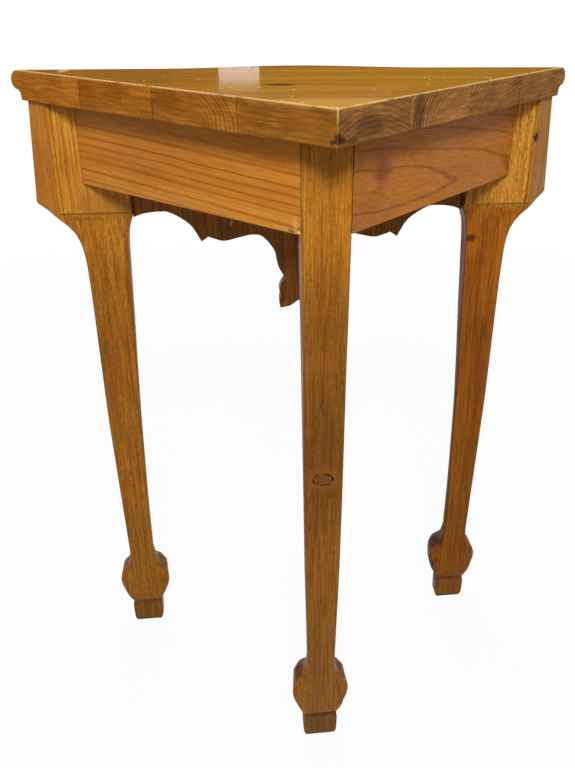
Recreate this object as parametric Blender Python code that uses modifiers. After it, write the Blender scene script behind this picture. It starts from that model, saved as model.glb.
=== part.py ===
"""Corner table with a moulded serpentine front, three carved legs and a shaped front apron.

The table stands on z = 0 with its right-angled back corner at +Y and its front edge towards -Y.
Places in plan are given as (x, depth): depth runs from the back corner of the top towards the front.
"""
import math

import bmesh
import bpy
import numpy as np
from mathutils import Matrix, Vector

# Overall sizes, in metres
TABLE_HEIGHT = 0.750
TOP_THICKNESS = 0.030
CORNER_DEPTH = 0.303        # back corner to the line of the two sharp front corners
FLANK_SWELL = 0.004         # how far the front edge beside the bulge stands in front of that line
BULGE_DEPTH = 0.030         # how far the middle of the front edge stands forward
BULGE_HALF_WIDTH = 0.150
JOINT_GAP = 0.0003          # room between two pieces that touch
CUT_OVERRUN = 0.004         # how far a cutting shape runs past what it cuts
ARRIS = 0.0011              # width of the worn sharp edges
MERGE_DISTANCE = 0.00001    # points closer than this are one point
SHARP_ANGLE = math.radians(30)

# Top boards and the moulding of the front edge
BOARD_WIDTH = 0.0742
BOARD_COUNT = 4
NOSE_RADIUS = 0.011
BEAD_RADIUS = 0.0095
BEAD_SWEEP = math.radians(60)
QUIRK_WIDTH = 0.0010
COVE_WIDTH = 0.0045
FILLET_HEIGHT = 0.0030
FRONT_STATIONS = 44
ARC_STEPS = 5

# Back aprons, parallel to the walls
BACK_APRON_INSET = 0.0240   # from the edge of the top to the outer face
BACK_APRON_THICKNESS = 0.020
BACK_APRON_HEIGHT = 0.0835

# Front apron
FRONT_OVERHANG = 0.009      # from the nose of the top to the outer face
FRONT_APRON_THICKNESS = 0.015
FRONT_APRON_HEIGHT = 0.251  # from the underside of the top to the tips of the centre drop
EDGE_STEPS = 4

# Back leg
BACK_LEG_WIDTH = 0.0448
BACK_LEG_THICKNESS = 0.0280
ANKLE_THICKNESS = 0.0240

# Foot, the same on all three legs
FOOT_HEIGHT = 0.1305
FOOT_WIDTH = 0.0666
FOOT_DEPTH = 0.0420

# Front legs
BLOCK_INNER_INSET = 0.1135  # from the sharp front corner of the top to the inner side of the block
BLANK_WIDTH = 0.1055        # widest part of the block and knee wing together
BLANK_THICKNESS = 0.0300
BLANK_FRONT_INSET = 0.0044  # from the nose of the top to the front of the blank
BLOCK_HEIGHT = 0.116        # from the underside of the top to the step in the back face
STEP_SLOPE = 0.0003         # height over which that step runs
POST_RECESS = 0.0070        # how far the post's back face lies in front of the block's
POST_COVE_HEIGHT = 0.030
FOOT_FORWARD = 0.0025       # how far the post leans forward between its cove and its foot
FOOT_CENTRE_INSET = 0.0332  # from the inner side of the block to the middle of the foot
WING_INSET = 0.0041         # from the edge of the top to the wall face of the wing
WING_JOINT_INSET = 0.0040   # from the edge of the block's back face to the glue line

# Dowels
DOWEL_RADIUS = 0.0030
DOWEL_IN_APRON = 0.0080
DOWEL_IN_LEG = 0.0120
DOWEL_CHAMFER = 0.0006
DOWEL_DROP = 0.0230         # from the underside of the top to the upper dowel
DOWEL_SPACING = 0.0400
DOWEL_SIDES = 16

# Glue blocks and cleats
BLOCK_DROP = 0.010          # from the underside of the top to the glue blocks
BACK_BLOCK_DEPTH = 0.030
BACK_BLOCK_HEIGHT = 0.055
CORNER_BLOCK_SIDE = 0.020
CORNER_BLOCK_HEIGHT = 0.060
CLEAT_SECTION = 0.018
CLEAT_CLEARANCE = 0.012     # from a glue block to the end of a top cleat, along the wall
FRONT_CLEAT_LENGTH = 0.040
FRONT_CLEAT_CLEARANCE = 0.0035  # from the inner side of a front leg to the front cleat

# Screws that hold the top
SCREW_LENGTH = 0.030
SCREW_RADIUS = 0.0020
SCREW_HEAD_RADIUS = 0.0040
SCREW_HEAD_HEIGHT = 0.0024
SCREW_POINT_LENGTH = 0.0040
SCREW_SIDES = 12
CLEAT_SCREW_SHARES = (0.10, 0.50, 0.90)

# Sections of the foot: (share of FOOT_HEIGHT, share of half FOOT_WIDTH or of FOOT_DEPTH)
FOOT_BACK_SHARES = (
    (0.00, 0.48), (0.02, 0.54), (0.06, 0.59), (0.22, 0.61), (0.25, 0.60), (0.275, 0.57), (0.295, 0.58),
    (0.36, 0.70), (0.48, 0.835), (0.58, 0.755), (0.68, 0.60), (0.80, 0.50), (1.00, 0.46))
FOOT_SIDE_SHARES = (
    (0.00, 0.49), (0.02, 0.55), (0.06, 0.60), (0.22, 0.615), (0.25, 0.605), (0.275, 0.58), (0.295, 0.60),
    (0.36, 0.74), (0.48, 0.94), (0.58, 1.00), (0.66, 0.95), (0.73, 0.78), (0.80, 0.61), (0.89, 0.515),
    (1.00, 0.478))
FOOT_EAR_SHARES = (
    (0.00, 0.49), (0.02, 0.55), (0.06, 0.60), (0.22, 0.615), (0.25, 0.605), (0.275, 0.58), (0.295, 0.60),
    (0.36, 0.73), (0.48, 0.89), (0.60, 0.92), (0.69, 0.90), (0.73, 0.82), (0.78, 0.64), (0.84, 0.51),
    (1.00, 0.478))
FOOT_BACK_SET_SHARES = (
    (0.00, 0.12), (0.02, 0.085), (0.06, 0.065), (0.25, 0.065), (0.275, 0.11), (0.295, 0.075), (0.36, 0.02),
    (0.42, 0.00), (1.00, 0.00))
FOOT_SIDE_DEPTH_SHARES = ((0.00, 0.15), (0.30, 0.14), (0.58, 0.12), (0.80, 0.14), (1.00, 0.026))
FOOT_EAR_DEPTH_SHARES = ((0.00, 0.45), (0.30, 0.48), (0.50, 0.64), (0.69, 0.66), (0.80, 0.50), (1.00, 0.269))
FOOT_FRONT_SHARES = (
    (0.00, 0.56), (0.02, 0.60), (0.06, 0.63), (0.25, 0.63), (0.275, 0.60), (0.295, 0.64), (0.36, 0.86),
    (0.50, 1.00), (0.66, 0.98), (0.73, 0.93), (0.78, 0.84), (0.84, 0.69), (1.00, 0.571))
FOOT_FLAT_SHARES = (
    (0.00, 0.36), (0.06, 0.44), (0.25, 0.44), (0.275, 0.40), (0.36, 0.42), (0.66, 0.36), (0.78, 0.24),
    (1.00, 0.096))

# Levels between those of the tables: widest step between two sections of the foot, as a share of its
# height, and more levels of the legs, as shares of their height
FOOT_STEP_SHARE = 0.045
BACK_LEG_LEVEL_SHARES = (0.21, 0.30, 0.40, 0.60)
FRONT_LEG_LEVEL_SHARES = (0.21, 0.29, 0.60, 0.766, 0.794, 0.818, 0.8355)

# Outlines of the legs above the foot: (share of the leg's height, share of its width)
BACK_LEG_SHARES = (
    (0.181, 0.71), (0.25, 0.755), (0.355, 0.835), (0.49, 0.888), (0.70, 0.932), (0.86, 0.99), (0.90, 1.00),
    (1.00, 1.00))
FRONT_OUTER_SHARES = (
    (0.181, 0.465), (0.35, 0.498), (0.49, 0.520), (0.70, 0.526), (0.75, 0.534), (0.78, 0.555), (0.806, 0.617),
    (0.827, 0.745), (0.840, 0.875), (0.846, 0.985), (0.850, 1.00), (1.00, 0.922))
FRONT_INNER_SHARES = (
    (0.181, 0.168), (0.28, 0.163), (0.37, 0.151), (0.46, 0.138), (0.56, 0.120), (0.66, 0.099), (0.78, 0.077),
    (0.806, 0.058), (0.827, 0.009), (0.834, 0.000), (1.00, 0.000))
# Rounding of the front corners: (share of the leg's height, share of half its width there)
ROUND_SHARES = (
    (0.181, 0.80), (0.30, 0.86), (0.42, 0.88), (0.50, 0.78), (0.60, 0.50), (0.68, 0.28), (0.78, 0.06),
    (1.00, 0.05))
COVE_SHARES = ((0.00, 0.25), (0.35, 0.70), (1.00, 1.00))

# Lower edge of the front apron from a leg to the middle, in stretches that meet at sharp points:
# (share of its half length, share of its height)
APRON_EDGE_SHARES = (
    ((1.000, 0.496), (0.935, 0.480), (0.850, 0.474), (0.780, 0.481), (0.671, 0.538), (0.607, 0.622)),
    ((0.607, 0.622), (0.566, 0.602)),
    ((0.566, 0.602), (0.530, 0.614), (0.465, 0.630), (0.355, 0.619), (0.289, 0.616), (0.226, 0.632),
     (0.155, 0.704), (0.132, 0.783), (0.087, 0.848)),
    ((0.087, 0.848), (0.113, 0.874), (0.126, 0.907), (0.118, 0.933)),
    ((0.118, 0.933), (0.127, 0.960), (0.122, 1.000)),
    ((0.122, 1.000), (0.061, 0.994), (0.018, 0.974), (0.000, 0.966)))

# Sides of the table as seen from its front, with the sign of x on each
SIDES = ((-1, "left"), (1, "right"))

# Looks: colour, roughness and metallic value
TOP_PINE = ((0.42, 0.22, 0.06), 0.30, 0.0)
LEG_PINE = ((0.42, 0.20, 0.05), 0.35, 0.0)
APRON_PINE = ((0.46, 0.21, 0.05), 0.40, 0.0)
SHADED_PINE = ((0.30, 0.14, 0.04), 0.45, 0.0)
BARE_PINE = ((0.55, 0.36, 0.17), 0.65, 0.0)
BEECH = ((0.62, 0.44, 0.24), 0.60, 0.0)
BRASSED_STEEL = ((0.62, 0.52, 0.30), 0.35, 1.0)

# Places worked out from the sizes above
ROOT_TWO = math.sqrt(2)
FLANK_DEPTH = CORNER_DEPTH + FLANK_SWELL
TABLE_DEPTH = FLANK_DEPTH + BULGE_DEPTH
FRONT_LEG_INNER = CORNER_DEPTH - BLOCK_INNER_INSET
CORNER_WEAR = ARRIS * (ROOT_TWO - 1)
UNDERSIDE = TABLE_HEIGHT - TOP_THICKNESS
LEG_HEIGHT = UNDERSIDE - JOINT_GAP
BACK_APRON_INNER = BACK_APRON_INSET + BACK_APRON_THICKNESS
BACK_LEG_DEPTH = BACK_APRON_INSET * ROOT_TWO + BACK_LEG_WIDTH / 2
BLOCK_BOTTOM = UNDERSIDE - BLOCK_HEIGHT


def front_depth(x):
    """Depth of the nose of the front edge at a distance x from the middle."""
    away = abs(x)
    if away < BULGE_HALF_WIDTH:
        return FLANK_DEPTH + BULGE_DEPTH * (1 + math.cos(math.pi * away / BULGE_HALF_WIDTH)) / 2
    turn = min((away - BULGE_HALF_WIDTH) / (CORNER_DEPTH - BULGE_HALF_WIDTH), 1)
    return FLANK_DEPTH + (CORNER_DEPTH - FLANK_DEPTH) * (1 - math.cos(math.pi * turn)) / 2


BLOCK_FRONT = front_depth(FRONT_LEG_INNER) - BLANK_FRONT_INSET
BLOCK_BACK = BLOCK_FRONT - BLANK_THICKNESS


def plan(x, depth):
    """World x and y of a place in plan, with the table's middle at y = 0."""
    return x, (TABLE_DEPTH + CORNER_WEAR) / 2 - depth


def wall_plan(side, along, inset):
    """Plan place measured along a wall edge of the top from the back corner, and inwards from it."""
    return side * (along - inset) / ROOT_TWO, (along + inset) / ROOT_TWO


def smooth_value(shares, place):
    """Value of a table of (place, value) at a place, on a curve that never overshoots its points."""
    xs = np.array([p for p, _ in shares])
    ys = np.array([v for _, v in shares])
    slopes = np.diff(ys) / np.diff(xs)
    tangents = np.zeros(len(xs))
    for i in range(1, len(xs) - 1):
        if slopes[i - 1] * slopes[i] > 0:
            tangents[i] = 2 * slopes[i - 1] * slopes[i] / (slopes[i - 1] + slopes[i])
    tangents[0] = slopes[0]
    tangents[-1] = slopes[-1]
    i = int(np.clip(np.searchsorted(xs, place) - 1, 0, len(slopes) - 1))
    width = xs[i + 1] - xs[i]
    t = min(max((place - xs[i]) / width, 0), 1)
    start, end = ys[i], ys[i + 1]
    lift = (1 - t) ** 2 * t * width * tangents[i] - (1 - t) * t ** 2 * width * tangents[i + 1]
    return float(start + (end - start) * (3 * t ** 2 - 2 * t ** 3) + lift)


def smooth_line(points, steps):
    """Points of a smooth line through the given points, without its last point."""
    pts = [Vector(p) for p in points]
    pts = [2 * pts[0] - pts[1]] + pts + [2 * pts[-1] - pts[-2]]
    line = []
    for a, b, c, d in zip(pts, pts[1:], pts[2:], pts[3:]):
        for k in range(steps):
            t = k / steps
            line.append((2 * b + (c - a) * t + (2 * a - 5 * b + 4 * c - d) * t ** 2
                         + (3 * b - a - 3 * c + d) * t ** 3) / 2)
    return line


def arc(centre, radii, start, end):
    """Points of an elliptical arc, both ends included."""
    angles = [start + (end - start) * k / ARC_STEPS for k in range(ARC_STEPS + 1)]
    return [(centre[0] + radii[0] * math.cos(a), centre[1] + radii[1] * math.sin(a)) for a in angles]


class Workshop:
    """Collections and materials that the pieces are put into."""

    def __init__(self):
        for old in list(bpy.data.objects):
            bpy.data.objects.remove(old, do_unlink=True)
        self.parts = bpy.data.collections.new("corner_table")
        self.cutters = bpy.data.collections.new("cutters")
        for collection in (self.parts, self.cutters):
            bpy.context.scene.collection.children.link(collection)
        self.cutters.hide_render = True

    def piece(self, name, mesh, look, place=None):
        """A sub-part with its own material; look is its colour, roughness and metallic value."""
        colour, roughness, metallic = look
        material = bpy.data.materials.new(name)
        material.use_nodes = True
        shader = material.node_tree.nodes["Principled BSDF"]
        shader.inputs["Base Color"].default_value = (*colour, 1)
        shader.inputs["Roughness"].default_value = roughness
        shader.inputs["Metallic"].default_value = metallic
        if not mesh.materials:
            mesh.materials.append(None)
        made = bpy.data.objects.new(name, mesh)
        made.material_slots[0].link = "OBJECT"
        made.material_slots[0].material = material
        if place:
            made.matrix_world = place
        self.parts.objects.link(made)
        return made

    def cutter(self, name, mesh, group=None):
        made = bpy.data.objects.new(name, mesh)
        made.display_type = "WIRE"
        made.hide_render = True
        (group or self.cutters).objects.link(made)
        return made

    def cutter_group(self, name):
        group = bpy.data.collections.new(name)
        self.cutters.children.link(group)
        return group


def boolean(target, tool, operation):
    """Live Boolean of a piece with a cutting shape or a collection of them."""
    step = target.modifiers.new(tool.name, "BOOLEAN")
    step.operation = operation
    step.solver = "EXACT"
    if isinstance(tool, bpy.types.Collection):
        step.operand_type = "COLLECTION"
        step.collection = tool
    else:
        step.object = tool


def mesh_from_bmesh(name, shape):
    bmesh.ops.recalc_face_normals(shape, faces=shape.faces)
    mesh = bpy.data.meshes.new(name)
    shape.to_mesh(mesh)
    shape.free()
    return mesh


def evaluated_mesh(source, name):
    """Mesh of an object as its curve settings or modifiers make it, in world places."""
    bpy.context.view_layer.update()
    graph = bpy.context.evaluated_depsgraph_get()
    made = bpy.data.meshes.new_from_object(source.evaluated_get(graph))
    shape = bmesh.new()
    shape.from_mesh(made)
    shape.transform(source.matrix_world)
    bmesh.ops.remove_doubles(shape, verts=shape.verts, dist=MERGE_DISTANCE)
    bpy.data.objects.remove(source, do_unlink=True)
    bpy.data.meshes.remove(made)
    return mesh_from_bmesh(name, shape)


def outline_solid(name, points, low, high, upright=False):
    """Flat outline filled and given thickness between low and high.

    A lying outline is in world x and y and rises in z; an upright one is in x and z and runs in depth.
    """
    curve = bpy.data.curves.new(name, "CURVE")
    curve.dimensions = "2D"
    curve.fill_mode = "BOTH"
    curve.extrude = (high - low) / 2
    spline = curve.splines.new("POLY")
    spline.points.add(len(points) - 1)
    for point, place in zip(spline.points, points):
        point.co = (place[0], place[1], 0, 1)
    spline.use_cyclic_u = True
    shape = bpy.data.objects.new(name, curve)
    bpy.context.scene.collection.objects.link(shape)
    middle = (low + high) / 2
    if upright:
        stand = Matrix.Rotation(math.pi / 2, 4, "X")
        shape.matrix_world = Matrix.Translation((0, plan(0, middle)[1], 0)) @ stand
    else:
        shape.location.z = middle
    return evaluated_mesh(shape, name)


def skin(rings):
    """Closed body through a stack of rings that all have the same number of points."""
    shape = bmesh.new()
    loops = [[shape.verts.new(place) for place in ring] for ring in rings]
    for lower, upper in zip(loops, loops[1:]):
        count = len(lower)
        for k in range(count):
            shape.faces.new((lower[k], lower[(k + 1) % count], upper[(k + 1) % count], upper[k]))
    shape.faces.new(loops[0][::-1])
    shape.faces.new(loops[-1])
    bmesh.ops.recalc_face_normals(shape, faces=shape.faces)
    return shape


def keep_one_side(shape, x, keep_outer):
    """Cut a body at a plane of constant x and keep the outer or the inner part, closed again."""
    geometry = shape.verts[:] + shape.edges[:] + shape.faces[:]
    cut = bmesh.ops.bisect_plane(
        shape, geom=geometry, plane_co=(x, 0, 0), plane_no=(math.copysign(1, x), 0, 0),
        clear_inner=keep_outer, clear_outer=not keep_outer)
    edges = [e for e in cut["geom_cut"] if isinstance(e, bmesh.types.BMEdge)]
    bmesh.ops.contextual_create(shape, geom=edges)


def round_rod(length, radius, sides, chamfer=0.0):
    """Rod along z from 0 to length with chamfered ends."""
    shape = bmesh.new()
    bmesh.ops.create_cone(shape, cap_ends=True, segments=sides, radius1=radius, radius2=radius, depth=length)
    bmesh.ops.translate(shape, verts=shape.verts, vec=(0, 0, length / 2))
    if chamfer:
        rims = [e for e in shape.edges if abs(e.verts[0].co.z - e.verts[1].co.z) < chamfer]
        bmesh.ops.bevel(shape, geom=rims, offset=chamfer, segments=1, affect="EDGES")
    return shape


def aim(origin, direction):
    """Placement that turns +Z into a direction."""
    return Matrix.Translation(origin) @ Vector(direction).to_track_quat("Z", "Y").to_matrix().to_4x4()


def shade_round(mesh):
    mesh.shade_smooth()
    mesh.set_sharp_from_angle(angle=SHARP_ANGLE)


def top_blank():
    """The whole top as one slab with worn wall edges, before it is moulded and split into boards."""
    steps = range(FRONT_STATIONS + 1)
    front = [CORNER_DEPTH * (1 - 2 * k / FRONT_STATIONS) for k in steps]
    outline = [plan(0, 0)] + [plan(x, front_depth(x)) for x in front]
    mesh = outline_solid("top_blank", outline, UNDERSIDE, TABLE_HEIGHT)
    shape = bmesh.new()
    shape.from_mesh(mesh)
    bpy.data.meshes.remove(mesh)
    corner = Vector(plan(0, 0))
    worn = []
    for edge in shape.edges:
        touches_corner = any((v.co.xy - corner).length < ARRIS for v in edge.verts)
        side_faces = [f for f in edge.link_faces if abs(f.normal.z) < 0.5]
        if touches_corner and side_faces:
            worn.append(edge)
    bmesh.ops.bevel(shape, geom=worn, offset=ARRIS, segments=2, profile=0.5, affect="EDGES")
    bmesh.ops.triangulate(shape, faces=[f for f in shape.faces if len(f.verts) > 4])
    return mesh_from_bmesh("top_blank", shape)


def moulding_profile():
    """Outline of what the moulding takes off, as (distance in front of the nose, height)."""
    nose_low = TOP_THICKNESS - NOSE_RADIUS
    line = arc((-NOSE_RADIUS, nose_low), (NOSE_RADIUS, NOSE_RADIUS), math.pi / 2, 0)
    line += arc((-BEAD_RADIUS, nose_low), (BEAD_RADIUS, BEAD_RADIUS), 0, -BEAD_SWEEP)[1:]
    bead_x, bead_z = line[-1]
    cove_start = bead_x - QUIRK_WIDTH
    line += arc((cove_start, FILLET_HEIGHT), (-COVE_WIDTH, bead_z - FILLET_HEIGHT), math.pi / 2, 0)
    line.append((line[-1][0], -CUT_OVERRUN))
    line.append((CUT_OVERRUN, -CUT_OVERRUN))
    line.append((CUT_OVERRUN, TOP_THICKNESS + CUT_OVERRUN))
    line.insert(0, (-NOSE_RADIUS, TOP_THICKNESS + CUT_OVERRUN))
    return line


def moulding_cutter():
    """The moulding's profile carried along the whole front edge and past both corners."""
    profile = moulding_profile()
    reach = CORNER_DEPTH + CUT_OVERRUN
    rings = []
    for k in range(FRONT_STATIONS + 1):
        x = reach * (1 - 2 * k / FRONT_STATIONS)
        slope = (front_depth(x + ARRIS) - front_depth(x - ARRIS)) / (2 * ARRIS)
        length = math.hypot(1, slope)
        ring = []
        for ahead, height in profile:
            spot = plan(x - ahead * slope / length, front_depth(x) + ahead / length)
            ring.append((spot[0], spot[1], UNDERSIDE + height))
        rings.append(ring)
    return mesh_from_bmesh("moulding_cutter", skin(rings))


def top_boards(shop, moulding, pilot_holes):
    blank = top_blank()
    for number in range(BOARD_COUNT):
        low = number * BOARD_WIDTH
        high = low + BOARD_WIDTH
        back = low + JOINT_GAP / 2 if number else -CUT_OVERRUN
        front = high - JOINT_GAP / 2 if number < BOARD_COUNT - 1 else TABLE_DEPTH + CUT_OVERRUN
        reach = CORNER_DEPTH + CUT_OVERRUN
        edges = [plan(-reach, back), plan(reach, back), plan(reach, front), plan(-reach, front)]
        slot = outline_solid("board_slot_%d" % (number + 1), edges,
                             UNDERSIDE - CUT_OVERRUN, TABLE_HEIGHT + CUT_OVERRUN)
        board = shop.piece("top_board_%d" % (number + 1), blank.copy(), TOP_PINE)
        boolean(board, shop.cutter("board_slot_%d" % (number + 1), slot), "INTERSECT")
        if number == BOARD_COUNT - 1:
            boolean(board, moulding, "DIFFERENCE")
        boolean(board, pilot_holes, "DIFFERENCE")


def foot_ring(share, centre, back, side=1):
    """One level section of a foot: fan-shaped back face, swelling sides and a rounded front."""
    half = FOOT_WIDTH / 2
    rear = back + FOOT_DEPTH * smooth_value(FOOT_BACK_SET_SHARES, share)
    swell = back + FOOT_DEPTH * smooth_value(FOOT_SIDE_DEPTH_SHARES, share)
    lobe = back + FOOT_DEPTH * smooth_value(FOOT_EAR_DEPTH_SHARES, share)
    front = back + FOOT_DEPTH * smooth_value(FOOT_FRONT_SHARES, share)
    narrow = half * smooth_value(FOOT_BACK_SHARES, share)
    wide = half * smooth_value(FOOT_SIDE_SHARES, share)
    ear = half * smooth_value(FOOT_EAR_SHARES, share)
    flat = half * smooth_value(FOOT_FLAT_SHARES, share)
    diagonal = math.sqrt(0.5)
    shoulder = (flat + (ear - flat) * diagonal, lobe + (front - lobe) * diagonal)
    right = [(narrow, rear), (wide, swell), (ear, lobe), shoulder, (flat, front)]
    section = right + [(-x, d) for x, d in reversed(right)]
    return [(*plan(side * (centre + x), d), FOOT_HEIGHT * share) for x, d in section]


def foot_levels():
    """Heights of the sections, as shares of FOOT_HEIGHT: each table's own and one more between."""
    tables = (FOOT_BACK_SHARES, FOOT_SIDE_SHARES, FOOT_EAR_SHARES, FOOT_FRONT_SHARES)
    own = sorted({level for table in tables for level, _ in table})
    between = [(a + b) / 2 for a, b in zip(own, own[1:]) if b - a > FOOT_STEP_SHARE]
    return [level for level in sorted(own + between) if level < 1]


def post_ring(inner, outer, back, front, height, rounding, side=1, wall_cut=False):
    """One level section of a leg above its foot, with a rounded front and the cut along the wall."""
    corner = outer - ARRIS
    turn = back + ARRIS
    if wall_cut:
        corner = min(corner, back - WING_INSET * ROOT_TWO)
        turn = max(turn, outer + WING_INSET * ROOT_TWO)
    inset = rounding * (1 - math.sqrt(0.5))
    section = [(corner, back), (outer, turn), (outer, front - rounding), (outer - inset, front - inset),
               (outer - rounding, front), (inner + rounding, front), (inner + inset, front - inset),
               (inner, front - rounding), (inner, back + ARRIS), (inner + ARRIS, back)]
    return [(*plan(side * x, d), height) for x, d in section]


def back_leg(shop, holes):
    rings = [foot_ring(share, 0, BACK_LEG_DEPTH) for share in foot_levels()]
    levels = sorted({level for level, _ in BACK_LEG_SHARES}.union(BACK_LEG_LEVEL_SHARES))
    for share in levels:
        half = BACK_LEG_WIDTH / 2 * smooth_value(BACK_LEG_SHARES, share)
        grown = (share - levels[0]) / (BACK_LEG_SHARES[-2][0] - levels[0])
        thickness = ANKLE_THICKNESS + (BACK_LEG_THICKNESS - ANKLE_THICKNESS) * min(grown, 1)
        rounding = half * smooth_value(ROUND_SHARES, share)
        front = BACK_LEG_DEPTH + thickness
        rings.append(post_ring(-half, half, BACK_LEG_DEPTH, front, LEG_HEIGHT * share, rounding))
    leg = shop.piece("back_leg", mesh_from_bmesh("back_leg", skin(rings)), LEG_PINE)
    shade_round(leg.data)
    boolean(leg, holes, "DIFFERENCE")


def front_leg_blank(side):
    """A front leg and its knee wing as one body, before it is parted at the glue line."""
    ankle_back = BLOCK_BACK + POST_RECESS + FOOT_FORWARD
    foot_centre = FRONT_LEG_INNER + FOOT_CENTRE_INSET
    rings = [foot_ring(share, foot_centre, ankle_back, side) for share in foot_levels()]
    step = BLOCK_BOTTOM / LEG_HEIGHT
    own = {level for level, _ in FRONT_OUTER_SHARES + FRONT_INNER_SHARES}
    levels = sorted(own.union(FRONT_LEG_LEVEL_SHARES, (step, step - STEP_SLOPE / LEG_HEIGHT)))
    for share in levels:
        height = LEG_HEIGHT * share
        outer = FRONT_LEG_INNER + BLANK_WIDTH * smooth_value(FRONT_OUTER_SHARES, share)
        inner = FRONT_LEG_INNER + BLANK_WIDTH * smooth_value(FRONT_INNER_SHARES, share)
        if share >= step:
            back, front = BLOCK_BACK, BLOCK_FRONT
        else:
            below = min((BLOCK_BOTTOM - height) / POST_COVE_HEIGHT, 1)
            lean = (BLOCK_BOTTOM - height) / (BLOCK_BOTTOM - FOOT_HEIGHT)
            back = BLOCK_BACK + POST_RECESS * smooth_value(COVE_SHARES, below) + FOOT_FORWARD * min(lean, 1)
            front = BLOCK_FRONT + (ankle_back + ANKLE_THICKNESS - BLOCK_FRONT) * min(lean, 1)
        rounding = (outer - inner) / 2 * smooth_value(ROUND_SHARES, share)
        rings.append(post_ring(inner, outer, back, front, height, rounding, side, wall_cut=True))
    return skin(rings)


def front_leg(shop, side, label, holes):
    joint = BLOCK_BACK - WING_INSET * ROOT_TWO - WING_JOINT_INSET
    leg_shape = front_leg_blank(side)
    keep_one_side(leg_shape, side * (joint - JOINT_GAP / 2), keep_outer=False)
    leg = shop.piece(label + "_front_leg", mesh_from_bmesh(label + "_front_leg", leg_shape), LEG_PINE)
    shade_round(leg.data)
    boolean(leg, holes, "DIFFERENCE")
    wing_shape = front_leg_blank(side)
    keep_one_side(wing_shape, side * (joint + JOINT_GAP / 2), keep_outer=True)
    shop.piece(label + "_knee_wing", mesh_from_bmesh(label + "_knee_wing", wing_shape), LEG_PINE)


def back_apron(shop, side, label, holes):
    """Plain board with both ends cut at 45 degrees, one against each leg."""
    near = BACK_LEG_WIDTH / 2 + JOINT_GAP
    far = BLOCK_BACK - JOINT_GAP
    outer = BACK_APRON_INSET * ROOT_TWO
    inner = BACK_APRON_INNER * ROOT_TWO
    corners = [(near, near + outer), (far - outer, far), (far - inner, far), (near, near + inner)]
    outline = [plan(side * x, d) for x, d in corners]
    mesh = outline_solid(label + "_back_apron", outline, UNDERSIDE - BACK_APRON_HEIGHT, UNDERSIDE - JOINT_GAP)
    boolean(shop.piece(label + "_back_apron", mesh, APRON_PINE), holes, "DIFFERENCE")


def front_apron(shop, holes):
    """Serpentine board sawn to its shaped lower edge."""
    reach = FRONT_LEG_INNER - JOINT_GAP
    edge = []
    for stretch in APRON_EDGE_SHARES:
        edge += smooth_line([(reach * x, UNDERSIDE - FRONT_APRON_HEIGHT * z) for x, z in stretch], EDGE_STEPS)
    middle = (0, UNDERSIDE - FRONT_APRON_HEIGHT * APRON_EDGE_SHARES[-1][-1][1])
    top = UNDERSIDE - JOINT_GAP
    wide = reach + CUT_OVERRUN
    half = [(wide, top), (wide, edge[0][1])] + [(p[0], p[1]) for p in edge]
    outline = half + [middle] + [(-x, z) for x, z in reversed(half)]
    thick = FRONT_OVERHANG + FRONT_APRON_THICKNESS
    mesh = outline_solid("front_apron", outline, FLANK_DEPTH - thick - CUT_OVERRUN, TABLE_DEPTH, upright=True)
    xs = [reach * (1 - 2 * k / FRONT_STATIONS) for k in range(FRONT_STATIONS + 1)]
    inner = [plan(x, front_depth(x) - thick) for x in xs]
    outer = [plan(x, front_depth(x) - FRONT_OVERHANG) for x in reversed(xs)]
    bend = outline_solid("serpentine_slab", inner + outer, UNDERSIDE - FRONT_APRON_HEIGHT - CUT_OVERRUN,
                         UNDERSIDE + CUT_OVERRUN)
    apron = shop.piece("front_apron", mesh, SHADED_PINE)
    boolean(apron, shop.cutter("serpentine_slab", bend), "INTERSECT")
    boolean(apron, holes, "DIFFERENCE")


def dowel_places():
    """Name, middle of the joint and direction out of the apron for each dowel."""
    places = []
    end_middle = (BACK_APRON_INSET + BACK_APRON_INNER) / 2 * ROOT_TWO
    near = BACK_LEG_WIDTH / 2 + JOINT_GAP / 2
    far = BLOCK_BACK - JOINT_GAP / 2
    side_depth = front_depth(FRONT_LEG_INNER) - FRONT_OVERHANG - FRONT_APRON_THICKNESS / 2
    side_face = FRONT_LEG_INNER - JOINT_GAP / 2
    for side, label in SIDES:
        for number, level in enumerate(("upper", "lower")):
            height = UNDERSIDE - DOWEL_DROP - DOWEL_SPACING * number
            joints = (
                ("back_leg", plan(side * near, near + end_middle), (-side, 0, 0)),
                ("front_leg", plan(side * (far - end_middle), far), (0, -1, 0)),
                ("front_apron", plan(side * side_face, side_depth), (side, 0, 0)))
            for joint, spot, direction in joints:
                name = "%s_%s_%s_dowel" % (label, joint, level)
                places.append((name, Vector((*spot, height)), Vector(direction)))
    return places


def dowels(shop):
    """The joint dowels, and the holes that take them."""
    length = DOWEL_IN_APRON + DOWEL_IN_LEG
    rod = mesh_from_bmesh("dowel", round_rod(length, DOWEL_RADIUS, DOWEL_SIDES, DOWEL_CHAMFER))
    shade_round(rod)
    hole_shape = round_rod(length + 2 * JOINT_GAP, DOWEL_RADIUS + JOINT_GAP, DOWEL_SIDES)
    bore = mesh_from_bmesh("dowel_hole", hole_shape)
    holes = shop.cutter_group("dowel_holes")
    for name, joint, direction in dowel_places():
        shop.piece(name, rod, BEECH, aim(joint - direction * DOWEL_IN_APRON, direction))
        hole = shop.cutter(name + "_hole", bore, holes)
        hole.matrix_world = aim(joint - direction * (DOWEL_IN_APRON + JOINT_GAP), direction)
    return holes


def glue_block(shop, name, corners, drop, height):
    outline = [plan(x, d) for x, d in corners]
    mesh = outline_solid(name, outline, UNDERSIDE - drop - height, UNDERSIDE - drop)
    return shop.piece(name, mesh, BARE_PINE)


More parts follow.
